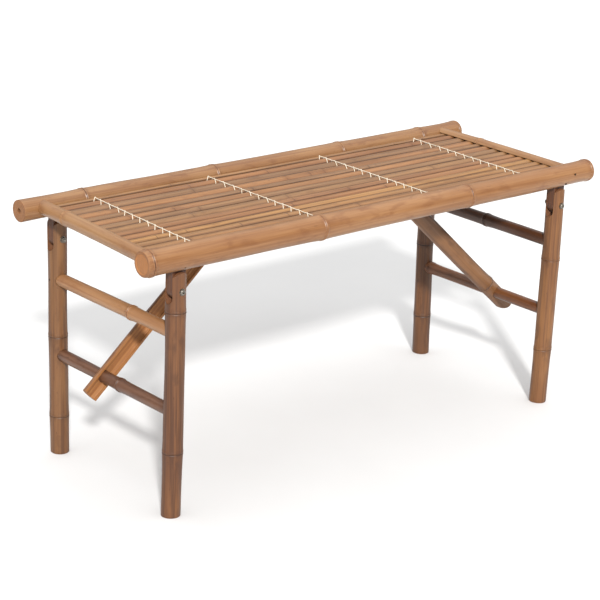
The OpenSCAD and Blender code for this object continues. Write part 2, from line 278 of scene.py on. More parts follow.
def stations(length, rings, step=0.008):
    """Places of the rows along a culm, close together at the rings."""
    last = length - END_MARGIN
    z = list(np.arange(END_MARGIN, last, step))
    z.append(last)
    for ring in rings:
        z += list(ring + np.arange(-0.0036, 0.0100, 0.0006))
        z += list(ring + np.arange(-0.024, 0.028, 0.0025))
    z = np.unique(np.round([at for at in z if END_MARGIN <= at <= last], 5))
    keep = np.concatenate([[True], np.diff(z) > 0.0003])
    return z[keep]


def culm_radius(shape, z, theta):
    """Radius of a culm at each height and angle, with its taper, ovality, lumps and rings."""
    rng = np.random.default_rng(shape["seed"])
    start, end = shape["radii"]
    radius = start + (end - start) * z / shape["length"]
    radius = radius + shape.get("oval", 0.012) * start * np.cos(2 * theta + rng.uniform(0, 6))
    lumps = 0
    for turns in range(6):
        wave = rng.uniform(8, 34)
        lumps = lumps + np.cos(turns * theta + wave * z + rng.uniform(0, 6)) / (1 + 0.5 * turns)
    radius = radius + shape.get("lump", 0.00022) * lumps
    for ring in shape["rings"]:
        tilt = 0.0007 * np.cos(theta + rng.uniform(0, 6)) + 0.0003 * np.cos(3 * theta + rng.uniform(0, 6))
        strength = shape.get("ring", 1.0) * rng.uniform(0.85, 1.15)
        radius = radius + strength * ring_height(z - ring - tilt)
    worn = shape.get("worn", 0.0)
    lobes = np.cos(7 * theta + 1.2) + 0.6 * np.cos(11 * theta)
    radius = radius + 0.35 * worn * lobes * np.exp(-(((z - 0.0125) / 0.0035) ** 2))
    radius = radius - worn * np.clip(1 - z / 0.009, 0, 1) ** 1.5
    return radius + shape.get("grow", 0.0)


def end_rows(bore, depth, rim, rng):
    """Rows from the middle of a culm's end out to its rim: distance in from the cut, and radius."""
    shut = depth < 0.003
    wall = rim - bore
    if bore <= 0:
        rows = [(0, rim * 0.02)]
    elif shut:
        rows = [(depth * 0.5, bore * 0.03), (depth * 0.6, bore * 0.5), (depth, bore * 0.92), (0.0003, bore)]
    else:
        rows = [(depth, bore * 0.03), (depth, bore * 0.8), (depth - 0.003, bore)]
        rows += [(depth * 0.5, bore), (0.0005, bore)]
    rows += [(0, bore + wall * 0.12), (0, bore + wall * 0.5), (0, bore + wall * 0.85)]
    rows += [(0.00005, rim - 0.0007), (0.0004, rim - 0.0002)]
    made = []
    for inset, radius in rows:
        rough = rng.normal(0, 0.00007, len(rim)) if inset == 0 else 0
        made.append((inset + rough + 0 * rim, radius + 0 * rim))
    return made


def culm_grid(shape):
    """The points of a whole culm, and the slot of each band: 0 skin, 1 cut."""
    sides = shape.get("sides", 48)
    theta = np.linspace(0, 2 * np.pi, sides, endpoint=False)
    length = shape["length"]
    rng = np.random.default_rng(shape["seed"] + 1000)
    z = stations(length, shape["rings"], shape.get("step", 0.008))
    outer = culm_radius(shape, z[:, None], theta[None, :])
    start = end_rows(*shape.get("start", (0, 0)), outer[0], rng)
    end = end_rows(*shape.get("end", (0, 0)), outer[-1], rng)
    heights = [inset for inset, _ in start]
    heights += [at + 0 * theta for at in z]
    heights += [length - inset for inset, _ in reversed(end)]
    radii = [radius for _, radius in start] + list(outer) + [radius for _, radius in reversed(end)]
    heights, radii = np.array(heights), np.array(radii)
    offset = centre_line(shape, heights)
    grid = np.stack(
        [radii * np.cos(theta) + offset[0], radii * np.sin(theta) + offset[1], heights], axis=-1
    )
    slots = np.zeros((len(heights) - 1, 1), int)
    slots[: len(start)] = 1
    slots[-len(end):] = 1
    return grid, slots


def centre_line(shape, z):
    """How far the culm's middle stands off a straight line: a bow, and a lean that starts at its foot."""
    share = np.clip(z / shape["length"], 0, 1)
    arc = 4 * share * (1 - share)
    bow = shape.get("bow", (0, 0))
    lean, lean_start = shape.get("lean", (0, 1))
    foot = np.clip(1 - z / lean_start, 0, 1) ** 1.3
    return bow[0] * arc, bow[1] * arc + lean * foot


def culm(name, shape, matrix, materials):
    grid, slots = culm_grid(shape)
    return make_piece(name, [loft(grid, slots)], materials, matrix)


# ---------- materials ----------


def linear(colour, scale=(1.0, 1.0, 1.0)):
    """Shader colour from display values of 0 to 255."""
    values = [min(c / 255 * part, 1.0) for c, part in zip(colour, scale)]
    return (*[v / 12.92 if v <= 0.04045 else ((v + 0.055) / 1.055) ** 2.4 for v in values], 1.0)


class Shading:
    """Short calls that build one material's nodes."""

    def __init__(self, name, seed=0):
        self.material = bpy.data.materials.new(name)
        self.material.use_nodes = True
        self.tree = self.material.node_tree
        self.shader = self.tree.nodes["Principled BSDF"]
        self.where = self.tree.nodes.new("ShaderNodeTexCoord")
        self.shift = (seed * 0.371 % 7, seed * 0.733 % 7, seed * 0.117 % 7)

    def put(self, kind, inputs, **settings):
        node = self.tree.nodes.new(kind)
        for key, value in settings.items():
            setattr(node, key, value)
        for key, value in inputs.items():
            self.feed(node.inputs[key], value)
        return node

    def feed(self, socket, value):
        if isinstance(value, bpy.types.NodeSocket):
            self.tree.links.new(value, socket)
        else:
            socket.default_value = value

    def noise(self, scale, detail=2.0, rough=0.5, bend=0.0):
        place = {"Vector": self.where.outputs["Object"], "Scale": scale, "Location": self.shift}
        mapped = self.put("ShaderNodeMapping", place)
        inputs = {"Vector": mapped.outputs[0], "Scale": 1.0, "Detail": detail, "Roughness": rough}
        inputs["Distortion"] = bend
        return self.put("ShaderNodeTexNoise", inputs).outputs[0]

    def cells(self, scale):
        mapped = self.put("ShaderNodeMapping", {"Vector": self.where.outputs["Object"], "Scale": scale})
        inputs = {"Vector": mapped.outputs[0], "Scale": 1.0}
        return self.put("ShaderNodeTexVoronoi", inputs, feature="F1").outputs["Distance"]

    def remap(self, value, low, high, to_low=0.0, to_high=1.0):
        inputs = {"Value": value, "From Min": low, "From Max": high, "To Min": to_low, "To Max": to_high}
        node = self.put("ShaderNodeMapRange", inputs, interpolation_type="SMOOTHSTEP")
        return node.outputs[0]

    def math(self, operation, first, second=0.0):
        return self.put("ShaderNodeMath", {0: first, 1: second}, operation=operation).outputs[0]

    def mix(self, share, first, second, blend="MIX"):
        inputs = {0: share, 6: first, 7: second}
        node = self.put("ShaderNodeMix", inputs, data_type="RGBA", blend_type=blend)
        return node.outputs[2]

    def axis(self, name):
        split = self.put("ShaderNodeSeparateXYZ", {0: self.where.outputs["Object"]})
        return split.outputs[name]

    def radius(self):
        across, up = self.axis("X"), self.axis("Y")
        squares = self.math("ADD", self.math("MULTIPLY", across, across), self.math("MULTIPLY", up, up))
        return self.math("SQRT", squares)

    def facing_end(self):
        """1 on faces sawn across the culm, 0 on faces along it."""
        split = self.put("ShaderNodeSeparateXYZ", {0: self.where.outputs["Normal"]})
        return self.remap(self.math("ABSOLUTE", split.outputs["Z"]), 0.55, 0.8)

    def finish(self, colour, roughness, height=None, depth=0.0002, coat=0.0):
        self.feed(self.shader.inputs["Base Color"], colour)
        self.feed(self.shader.inputs["Roughness"], roughness)
        self.shader.inputs["Coat Weight"].default_value = coat
        self.shader.inputs["Coat Roughness"].default_value = 0.28
        if height is not None:
            bump = self.put("ShaderNodeBump", {"Height": height, "Distance": depth, "Strength": 1.0})
            self.feed(self.shader.inputs["Normal"], bump.outputs[0])
        return self.material


def ring_marks(s, colour, rings, line, haze, strength=1.0):
    """Darkens a thin line and a broken haze at each growth ring. Returns the colour and the line."""
    wobble = s.math("MULTIPLY", s.math("SUBTRACT", s.noise((70, 70, 70)), 0.5), 0.0016)
    along = s.math("ADD", s.axis("Z"), wobble)
    nearest = None
    for ring in rings:
        past = s.math("ABSOLUTE", s.math("SUBTRACT", along, ring + 0.0017))
        nearest = past if nearest is None else s.math("MINIMUM", nearest, past)
    broken = s.noise((120, 120, 40), 3)
    haze_share = s.math("MULTIPLY", s.remap(nearest, 0.0135, 0.001), s.remap(broken, 0.38, 0.62))
    colour = s.mix(s.math("MULTIPLY", haze_share, 0.55 * strength), colour, haze)
    line_share = s.remap(nearest, 0.0013, 0.0003)
    return s.mix(s.math("MULTIPLY", line_share, 0.8 * strength), colour, line), line_share


def skin(name, palette, seed, rings=(), streak=0.5, fleck=0.5, rough=0.42, coat=0.12, **more):
    """Outer skin of bamboo: tone drifts along the culm, streaks and fibres run with it, rings are darker.

    width squeezes the pattern onto narrow pieces, flank is where the painted shade on a slat's sides
    starts, and marks is how strongly the rings are coloured.
    """
    base, light, dark, stain = [linear(c, TONE) for c in palette]
    s = Shading(name, seed)
    colour, streaks = drifting_tone(s, base, light, dark, streak, 1 / more.get("width", 1.0))
    fibre = s.noise((1250, 1250, 16), 2)
    colour = s.mix(s.remap(fibre, 0.42, 0.72, 0.0, 0.30), colour, dark)
    fleck_share = s.remap(s.noise((300, 300, 60), 3, 0.6), 0.66, 0.74, 0.0, fleck)
    colour = s.mix(fleck_share, colour, stain)
    height = s.math("ADD", s.math("MULTIPLY", fibre, 0.5), s.math("MULTIPLY", streaks, -0.35))
    # Painted shade on slats: darker towards the sides, with a painted shadow line along each gap
    if "flank" in more:
        colour = painted_flank_shade(s, colour, more["flank"], dark, stain)
    if rings:
        colour, line = ring_marks(s, colour, rings, stain, dark, more.get("marks", 1.0))
        height = s.math("SUBTRACT", height, line)
    roughness = s.remap(s.noise((90, 90, 9), 3), 0.3, 0.7, rough - 0.07, rough + 0.13)
    return s.finish(colour, roughness, height, 0.00022, coat)


def drifting_tone(s, base, light, dark, streak, wide):
    """Tone of the skin before its fibres: clouds, dark streaks, pale streaks and blotches."""
    colour = s.mix(s.remap(s.noise((18 * wide, 18 * wide, 5), 2), 0.36, 0.66), base, light)
    streaks = s.remap(s.noise((150 * wide, 150 * wide, 2.4), 3, 0.6), 0.45, 0.62)
    colour = s.mix(s.math("MULTIPLY", streaks, streak), colour, dark)
    pale = s.remap(s.noise((260 * wide, 260 * wide, 3.4), 2), 0.52, 0.66)
    colour = s.mix(s.math("MULTIPLY", pale, 0.6), colour, light)
    blotch = s.remap(s.noise((46, 46, 17), 3, 0.6, 0.4), 0.52, 0.70)
    return s.mix(s.math("MULTIPLY", blotch, 0.55), colour, dark), streaks


def painted_flank_shade(s, colour, flank, dark, stain):
    """Painted shade: darkens a slat towards its sides as its crown turns from the light, with a nearly
    black painted shadow line along each edge for the gap between slats.
    """
    aside = s.math("ABSOLUTE", s.axis("X"))
    aside = s.math("ADD", aside, s.math("MULTIPLY", s.noise((40, 200, 9), 2), 0.004))
    colour = s.mix(s.remap(aside, 0.55 * flank, flank + 0.0025, 0.0, 0.75), colour, dark)
    # The stain tone here is painted shadow in the gap along each edge
    return s.mix(s.remap(aside, flank - 0.0005, flank + 0.0022, 0.0, 0.8), colour, stain)


def sawn(name, palette, seed, bore=0.0, rim=1.0, inner=None):
    """Cut bamboo: dotted with fibre bundles across the grain, streaked along it."""
    base, light, dark, stain = [linear(c, TONE) for c in palette]
    s = Shading(name, seed)
    dots = s.remap(s.cells((1500, 1500, 200)), 0.42, 0.2)
    across = end_grain(s, dots, (base, light, dark, stain), bore, rim)
    if bore > 0:
        inside = s.remap(s.radius(), bore + 0.0006, bore - 0.0003)
        grain = s.remap(s.noise((60, 700, 60), 3), 0.4, 0.65)
        plate = s.mix(grain, linear(inner, TONE), base) if inner else base
        across = s.mix(inside, across, plate)
    fine = s.noise((900, 900, 11), 3, 0.6)
    along = s.mix(s.remap(fine, 0.4, 0.66), light, base)
    wide = s.remap(s.noise((220, 220, 4), 3), 0.45, 0.7)
    along = s.mix(s.math("MULTIPLY", wide, 0.6), along, dark)
    colour = s.mix(s.facing_end(), along, across)
    height = s.math("ADD", s.math("MULTIPLY", fine, 0.6), s.math("MULTIPLY", dots, -0.4))
    roughness = s.remap(fine, 0.3, 0.7, 0.55, 0.75)
    return s.finish(colour, roughness, height, 0.00025)


def end_grain(s, dots, tones, bore, rim):
    """Tone of a sawn end: more dots towards the rim, cloudy, darker right at the rim."""
    base, light, dark, stain = tones
    radius = s.radius()
    across = s.mix(s.math("MULTIPLY", dots, s.remap(radius, bore, rim, 0.25, 0.85)), light, stain)
    across = s.mix(s.remap(s.noise((90, 90, 90), 3), 0.4, 0.7, 0.0, 0.5), across, base)
    return s.mix(s.remap(radius, rim - 0.0016, rim - 0.0004, 0.0, 0.55), across, dark)


def cotton(name, seed):
    """Off-white twisted cotton: greyer in fine specks and soiled patches, with loose fibres."""
    s = Shading(name, seed)
    fibres = s.noise((2600, 2600, 2600), 3, 0.65)
    soil = s.remap(s.noise((55, 55, 55), 2), 0.45, 0.75, 0.0, 0.5)
    colour = s.mix(s.remap(fibres, 0.35, 0.7), linear((205, 192, 170)), linear((228, 218, 200)))
    colour = s.mix(soil, colour, linear((184, 164, 134)))
    material = s.finish(colour, s.remap(fibres, 0.3, 0.7, 0.75, 0.95), fibres, 0.0001)
    s.shader.inputs["Sheen Weight"].default_value = 0.25
    return material


def steel(name, colour, rough, seed):
    """Zinc-plated steel: slightly patchy in tone and polish."""
    s = Shading(name, seed)
    patch = s.noise((420, 420, 420), 3, 0.6)
    fine = s.noise((2600, 2600, 2600), 2)
    dark = linear([c * 0.62 for c in colour])
    shade = s.mix(s.remap(patch, 0.42, 0.72), linear(colour), dark)
    material = s.finish(shade, s.remap(patch, 0.3, 0.7, rough - 0.1, rough + 0.15), fine, 0.00004)
    s.shader.inputs["Metallic"].default_value = 1.0
    return material


# Palettes: base, light, dark, stain, as they look under the lights; TONE takes the lights' part out
TONE = (0.775, 0.705, 0.60)
RAIL_FRONT = ((178, 134, 92), (194, 154, 116), (146, 98, 58), (98, 60, 34))
RAIL_BACK = ((172, 132, 94), (188, 152, 116), (140, 96, 62), (96, 62, 38))
END_RAIL = ((184, 144, 106), (200, 166, 132), (152, 108, 72), (104, 70, 46))
LEG_TONES = {
    "front_left": ((121, 79, 46), (146, 102, 64), (88, 54, 30), (58, 34, 18)),
    "back_left": ((138, 98, 62), (158, 119, 79), (100, 66, 38), (66, 42, 24)),
    "front_right": ((146, 102, 62), (170, 126, 82), (108, 70, 40), (70, 44, 24)),
    "back_right": ((113, 76, 44), (138, 96, 58), (84, 52, 30), (54, 32, 18)),
}
LEG_MARKS = {"front_left": 0.8, "back_left": 0.8, "front_right": 0.45, "back_right": 1.2}
RUNG_TONES = {
    ("upper", "left"): ((188, 144, 106), (204, 164, 128), (160, 114, 76), (112, 72, 44)),
    ("lower", "left"): ((116, 80, 62), (134, 98, 78), (88, 56, 42), (56, 34, 24)),
    ("upper", "right"): ((94, 57, 30), (114, 72, 42), (72, 42, 22), (46, 26, 14)),
    ("lower", "right"): ((130, 80, 44), (154, 104, 62), (100, 60, 32), (62, 38, 20)),
}
BRACE_TONES = {
    "left": ((160, 114, 78), (186, 142, 104), (124, 82, 52), (84, 52, 32)),
    "right": ((146, 106, 70), (168, 128, 92), (110, 74, 46), (72, 46, 28)),
}
BRACE_INSIDE = ((176, 120, 66), (200, 148, 92), (150, 96, 48), (112, 66, 32))
SAWN_PALE = ((176, 128, 88), (196, 154, 114), (142, 98, 64), (98, 62, 38))
SAWN_RAIL = ((190, 140, 96), (172, 128, 92), (112, 74, 48), (84, 54, 34))
SAWN_LEG = ((136, 92, 66), (158, 114, 84), (98, 62, 42), (56, 34, 22))
TONGUE = ((104, 63, 38), (130, 86, 56), (70, 40, 24), (40, 22, 12))
BAR = ((150, 112, 76), (170, 132, 94), (116, 80, 52), (78, 50, 32))

# Base tone of each slat from the front to the back
SLAT_TONES = (
    (182, 144, 104), (176, 138, 98), (184, 146, 102), (198, 160, 110), (182, 138, 96),
    (178, 136, 98), (176, 142, 106), (170, 138, 106), (184, 142, 102), (166, 134, 104),
    (180, 138, 98), (164, 132, 102), (176, 132, 92), (180, 144, 106),
)

# ---------- top frame ----------


def rail_shape(node, radii, rings, seed, start, end):
    low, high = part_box(node)
    return {
        "length": high.x - low.x,
        "radii": radii,
        "rings": [x - low.x for x in rings],
        "seed": seed,
        "sides": 72,
        "start": start,
        "end": end,
        "lump": 0.00026,
    }


def rail_matrix(node):
    low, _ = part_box(node)
    centre = middle(node)
    return placed((low.x, centre.y, centre.z), X, Z)


def long_rail(node, shape, palette, seed):
    skin_material = skin(f"{node}_skin", palette, seed, shape["rings"], 0.45, 0.45, 0.40, 0.16)
    bore, rim = shape["start"][0], shape["radii"][0]
    cut_material = sawn(f"{node}_cut", SAWN_RAIL, seed + 1, bore, rim, (204, 148, 98))
    piece = culm(f"{node}_culm", shape, rail_matrix(node), [skin_material, cut_material])
    return finish_piece(piece, "table_top", "rail_bamboo", node)


def rail_cutter(node, shape):
    """The rail's own outside, grown by the joint gap, that an end rail is fish-mouthed to."""
    grown = dict(shape, grow=JOINT_GAP, start=(0, 0), end=(0, 0), step=0.02)
    grid, slots = culm_grid(grown)
    return make_piece("cutter_" + node, [loft(grid, slots)], [], rail_matrix(node))


def end_rail(side, rail_shapes, seed):
    node = f"end_rail_{side}"
    skew = math.radians(END_RAIL_SKEW[side])
    along = Vector((math.sin(skew), math.cos(skew), 0))
    centre = middle(node)
    reach = middle("long_rail_back").y
    length = 2 * reach / math.cos(skew)
    origin = centre - along * length / 2
    ring = END_RAIL_RING[side] + length / 2
    shape = {"length": length, "radii": (END_RAIL_RADIUS,) * 2, "rings": [ring], "seed": seed}
    shape.update(sides=56, bow=(0.0008, 0.0012))
    skin_material = skin(f"{node}_skin", END_RAIL, seed, shape["rings"], 0.35, 0.4, 0.42, 0.12)
    cut_material = sawn(f"{node}_cut", SAWN_PALE, seed + 1, 0.0, END_RAIL_RADIUS)
    piece = culm(f"{node}_culm", shape, placed(origin, along, Z), [skin_material, cut_material])
    cut(piece, [groove_cutter(side, centre, skew)] + [rail_cutter(n, s) for n, s in rail_shapes.items()])
    return finish_piece(piece, "table_top", "rail_bamboo", node)


def groove_cutter(side, centre, skew):
    low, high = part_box("slat_01")
    inward = 1 if side == "left" else -1
    ends = sorted((inward * GROOVE_START, inward * 2 * END_RAIL_RADIUS))
    bottom, top = low.z - GROOVE_PLAY - centre.z, high.z + GROOVE_PLAY - centre.z
    outline = box_outline((ends[0], bottom), (ends[1], top))
    cutter = prism("cutter_groove", outline, 1, -0.3, 0.3)
    cutter.matrix_world = Matrix.Translation(centre) @ Matrix.Rotation(-skew, 4, "Z")
    return cutter


# ---------- slats ----------


def slat_section(width):
    """Outline of a slat across its length: crowned top, sides, slightly hollow underside."""
    half = width / 2 - SLAT_EDGE
    round_r = SLAT_CROWN * width
    drop = round_r - math.sqrt(round_r ** 2 - half ** 2)
    lean = math.asin(half / round_r)
    crown = circle((0, -round_r), round_r, 15, math.pi / 2 - lean, 2 * lean)
    edge = circle((-half, -drop - SLAT_EDGE), SLAT_EDGE, 4, math.pi / 2 + lean, math.pi / 2 - lean)[1:]
    bottom = [(-width / 2, -SLAT_THICKNESS + 0.0006), (-width / 2 + 0.0006, -SLAT_THICKNESS)]
    hollow = [(-0.26 * width, -SLAT_THICKNESS), (-0.13 * width, -SLAT_THICKNESS + SLAT_HOLLOW * 0.75)]
    left = edge + [(-width / 2, -0.5 * (drop + SLAT_THICKNESS))] + bottom + hollow
    right = [(-x, y) for x, y in reversed(left)]
    points = crown + left + [(0, -SLAT_THICKNESS + SLAT_HOLLOW)] + right
    return np.array(points), len(crown)


def slat(number, rng):
    node = f"slat_{number:02d}"
    low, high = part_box(node)
    length = high.x - low.x
    scars = sorted(rng.uniform(0.06, length - 0.06, 3 if number % 3 else 2))
    z = stations(length, scars, 0.012)
    z = np.concatenate([[0], z, [length]])
    section, top_count = slat_section(high.y - low.y)
    grid = slat_grid(section, z, scars, length, rng)
    slots = np.ones((1, len(section)), int)
    slots[0, : top_count + 1] = 0
    slots[0, -2:] = 0
    materials = slat_materials(number, scars, (high.y - low.y) / 2)
    origin = (low.x, (low.y + high.y) / 2, high.z)
    piece = make_piece(f"{node}_strip", [loft(grid, slots)], materials, placed(origin, X, Y), 50)
    return finish_piece(piece, "table_top", "slat_bamboo", node)


def slat_materials(number, scars, half):
    """A slat's skin, and its sides and underside in darker tones, painted shade for the gaps between the
    slats.
    """
    base = SLAT_TONES[number - 1]
    light = [min(255, c * 1.11) for c in base]
    dark = [c * share for c, share in zip(base, (0.80, 0.74, 0.68))]
    stain = [c * share for c, share in zip(base, (0.50, 0.44, 0.40))]
    look = {"streak": 0.65, "fleck": 0.6, "rough": 0.46, "coat": 0.06, "width": 0.7, "flank": half}
    top = skin(f"slat_{number:02d}_skin", (base, light, dark, stain), 40 + number, scars, **look)
    # Painted shade: the sides and underside take the darker tones so the gaps between slats look shaded
    painted_side_shade = (dark, [c * 0.85 for c in dark], stain, stain)
    return [top, sawn(f"slat_{number:02d}_cut", painted_side_shade, 60 + number)]


def slat_grid(section, z, scars, length, rng):
    """Sections along a slat, slightly wavy, with a scar at each growth ring."""
    across, up = section[:, 0][None, :], section[:, 1][None, :]
    along = z[:, None]
    wave = 0.0003 * np.sin(along * rng.uniform(5, 11) + rng.uniform(0, 6))
    lift = 0.0003 * np.sin(along * rng.uniform(6, 14) + rng.uniform(0, 6)) - 0.0003
    twist = math.radians(1.1) * np.sin(along * rng.uniform(2, 5) + rng.uniform(0, 6))
    broad = 1 + 0.012 * np.sin(along * rng.uniform(4, 9) + rng.uniform(0, 6))
    scar = 0
    for place in scars:
        tilt = rng.uniform(-0.12, 0.12) * across
        scar = scar + ring_height(along - place - tilt) * rng.uniform(0.25, 0.45)
    on_top = np.clip((up + 0.005) / 0.003, 0, 1)
    x = across * broad + wave - up * twist
    y = up + lift * np.sin(math.pi * along / length) + across * twist + scar * on_top
    return np.stack([x, y, along + 0 * across], axis=-1)


# ---------- lashing ----------


def slat_rows(boxes):
    """(middle, line before it, line after it) along Y for every slat."""
    rows = []
    for number, (low, high) in enumerate(boxes):
        before = (boxes[number - 1][1].y + low.y) / 2 if number else low.y - LINE_HALF
        after = (high.y + boxes[number + 1][0].y) / 2 if number < len(boxes) - 1 else high.y + LINE_HALF
        rows.append(((low.y + high.y) / 2, before, after))
    return rows


def lash_binding(bar, top, rows, rng):
    """The binding strand: up a gap, over a slat, slanting down the next gap, round the cross bar."""
    points = [(0.0, rows[0][1], bar.z - 0.0092)]
    for crown, near, far in rows:
        tick = -0.0074 + rng.uniform(-0.0014, 0.0012)
        lean = rng.uniform(-0.0006, 0.0006)
        span = crown - near
        points += [
            (-0.0086, near, bar.z - 0.0025),
            (-0.0082, near, bar.z + 0.0045),
            (tick, near + 0.0005, top - 0.0042),
            (tick * 0.70, near + 0.34 * span, top - 0.0013),
            (tick * 0.34, near + 0.68 * span, top + 0.0006),
            (lean, crown, top + CORD_RADIUS * 2.1),
            (0.0012, crown + 0.30 * span, top + 0.0009),
            (0.0026, far - 0.22 * span, top - 0.0022),
            (0.0044, far, top - 0.0046),
            (0.0082, far, bar.z + 0.0040),
            (0.0088, far, bar.z - 0.0025),
            (0.0045, far, bar.z - 0.0085),
            (-0.0045, far, bar.z - 0.0085),
        ]
    points[-1] = (0.0, rows[-1][2], bar.z - 0.0092)
    return points


def lash_running(top, rows, rng):
    """The running strand: along the top, from crown to crown, under the binding one."""
    first = rows[0]
    points = [(0.0020, first[1] + 0.0010, top - 0.0035), (0.0010, first[1] + 0.0040, top - 0.0002)]
    for crown, _, far in rows:
        points.append((rng.uniform(-0.0004, 0.0004), crown, top + CORD_RADIUS * 0.75))
        points.append((0.0013 + rng.uniform(-0.0005, 0.0007), far, top + rng.uniform(-0.0001, 0.0007)))
    points[-1] = (0.0016, rows[-1][2] - 0.0012, top - 0.0035)
    return points


def lash_path(line, points):
    """Points across, along and up a lashing line, brought into the row frame and made smooth."""
    bar = middle(f"cross_bar_{line + 1}")
    skew = math.tan(math.radians(LASH_SKEW[line]))
    placed_points = [(bar.x + y * skew + across, y, z) for across, y, z in points]
    return smooth_path(np.array(placed_points), CORD_STEP)


def smooth_path(points, step):
    """A smooth curve through the points, resampled evenly."""
    padded = np.vstack([2 * points[0] - points[1], points, 2 * points[-1] - points[-2]])
    curve = []
    share = np.linspace(0, 1, 10, endpoint=False)[:, None]
    for a, b, c, d in zip(padded[:-3], padded[1:-2], padded[2:-1], padded[3:]):
        cubic = (3 * (b - c) + d - a) * share ** 3
        curve.append(0.5 * (2 * b + (c - a) * share + (2 * a - 5 * b + 4 * c - d) * share ** 2 + cubic))
    curve = np.vstack(curve + [points[-1:]])
    run = np.concatenate([[0], np.cumsum(np.linalg.norm(np.diff(curve, axis=0), axis=1))])
    even = np.arange(0, run[-1], step)
    return np.stack([np.interp(even, run, curve[:, i]) for i in range(3)], axis=1)


def cord_grid(path):
    """A three-ply twisted cord along the path."""
    along = np.gradient(path, axis=0)
    along /= np.linalg.norm(along, axis=1)[:, None]
    side = np.zeros_like(path)
    last = np.cross(along[0], (0.3, 0.2, 1.0))
    for i, direction in enumerate(along):
        last = last - direction * (last @ direction)
        last = last / np.linalg.norm(last)
        side[i] = last
    other = np.cross(along, side)
    angle = np.linspace(0, 2 * np.pi, 12, endpoint=False)[None, :]
    twist = (np.arange(len(path)) * CORD_STEP / CORD_PITCH * 2 * np.pi)[:, None]
    radius = CORD_RADIUS * (0.86 + 0.14 * np.cos(3 * (angle - twist)))
    ring = np.cos(angle)[..., None] * side[:, None, :] + np.sin(angle)[..., None] * other[:, None, :]
    return path[:, None, :] + radius[..., None] * ring


def lashing(line, slat_boxes, material):
    node = f"lashing_cord_{line + 1}"
    rng = np.random.default_rng(300 + line)
    top, rows = slat_boxes[0][1].z, slat_rows(slat_boxes)
    binding = lash_path(line, lash_binding(middle(f"cross_bar_{line + 1}"), top, rows, rng))
    running = lash_path(line, lash_running(top, rows, rng))
    strands = [loft(cord_grid(binding), 0), loft(cord_grid(running), 0)]
    piece = make_piece(f"{node}_twist", strands, [material, material], None, 80)
    return finish_piece(piece, "table_top", "cord", node)


def small_bar(node, slot, seed, sides=28):
    """A cross bar or catch bar: a thin stick of bamboo along Y."""
    low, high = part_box(node)
    centre = middle(node)
    radius = (high.z - low.z) / 2
    skew = math.radians(LASH_SKEW[int(node[-1]) - 1]) if node.startswith("cross_bar") else 0.0
    along = Vector((math.sin(skew), math.cos(skew), 0))
    length = (high.y - low.y) - 0.0005
    shape = {"length": length, "radii": (radius, radius), "rings": [], "seed": seed}
    shape.update(sides=sides, step=0.02, lump=0.00008, oval=0.01)
    bark = skin(f"{node}_skin", BAR, seed, (), 0.5, 0.5, 0.5, 0.05)
    core = sawn(f"{node}_cut", SAWN_PALE, seed, 0.0, radius)
    piece = culm(f"{node}_culm", shape, placed(centre - along * length / 2, along, Z), [bark, core])
    return finish_piece(piece, "table_top", slot, node)


# ---------- hinge tongues ----------


def tongue_grid(top):
    """Points of a tongue around its bolt's middle, up to the given height above it."""
    half_width, half_depth = TONGUE_HALF
    theta = np.linspace(0, 2 * np.pi, 180, endpoint=False)[None, :]
    drop = half_width * np.sin(np.linspace(math.pi / 2 * 0.985, 0, 24))
    z = np.concatenate([-drop, np.linspace(0.003, top, 16)])[:, None]
    hang = np.clip(-z, 0, half_width)
    half_x = np.sqrt(half_width ** 2 - hang ** 2) - 0.0002
    ease = np.clip(1 - half_x / half_width, 0, 1) ** 3
    half_y = half_depth - 0.0002 - 0.0009 * ease + 0 * z
    corner = 12.0
    radius = (np.abs(np.cos(theta) / half_x) ** corner + np.abs(np.sin(theta) / half_y) ** corner)
    radius = radius ** (-1 / corner)
    x, y = radius * np.cos(theta), radius * np.sin(theta)
    on_side = np.clip((np.abs(x) / half_x - 0.93) / 0.05, 0, 1) * np.clip(half_x / 0.008, 0, 1)
    x = x - np.sign(x) * on_side * 0.00035 * (1 + np.cos(y * 1150))
    return np.stack([x, y, z + 0 * theta], axis=-1)


def tongue(place, material):
    """A flat block with soft corners, grooved by its grain, rounded where it hangs on its bolt."""
    node = f"hinge_tongue_{place}"
    low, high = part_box(node)
    centre = middle(node)
    pivot = low.z + TONGUE_HALF[0]
    matrix = Matrix.Translation((centre.x, centre.y, pivot))
    block = loft(tongue_grid(high.z - pivot), 0)
    piece = make_piece(f"{node}_block", [block], [material, material], matrix, 40)
    bore = prism("cutter_bore", circle((0, 0), BOLT_RADIUS + TONGUE_PLAY), 1, -THROUGH, THROUGH)
    bore.matrix_world = matrix
    cut(piece, [bore], 40)
    return finish_piece(piece, "table_top", "tongue_wood", node)


# ---------- leg frames ----------


def sides_of(place):
    """Signs of a leg's place along X and Y."""
    return (-1 if place.endswith("left") else 1), (-1 if place.startswith("front") else 1)


def fork_cutters(pivot):
    """The slot with its round floor, and what is outside the rounded top, seen from the leg's axis."""
    slot = circle((0, SLOT_FLOOR), SLOT_HALF, 24, math.pi, math.pi)
    slot = slot + [(SLOT_HALF, 0.6), (-SLOT_HALF, 0.6)]
    arch = circle((0, FORK_ROUND), LEG_RADIUS - 0.0002, 32, 0.0, math.pi)
    outside = [(THROUGH, FORK_ROUND)] + arch + [(-THROUGH, FORK_ROUND), (-THROUGH, 0.6), (THROUGH, 0.6)]
    cutters = [prism("cutter_slot", slot, 0, -0.05, 0.05), prism("cutter_top", outside, 1, -0.05, 0.05)]
    for sign in (-1, 1):
        ends = sorted((sign * SPOT_FACE, sign * THROUGH))
        cutters.append(prism("cutter_face", circle((0, pivot), SPOT_FACE_RADIUS), 1, *ends))
    return cutters


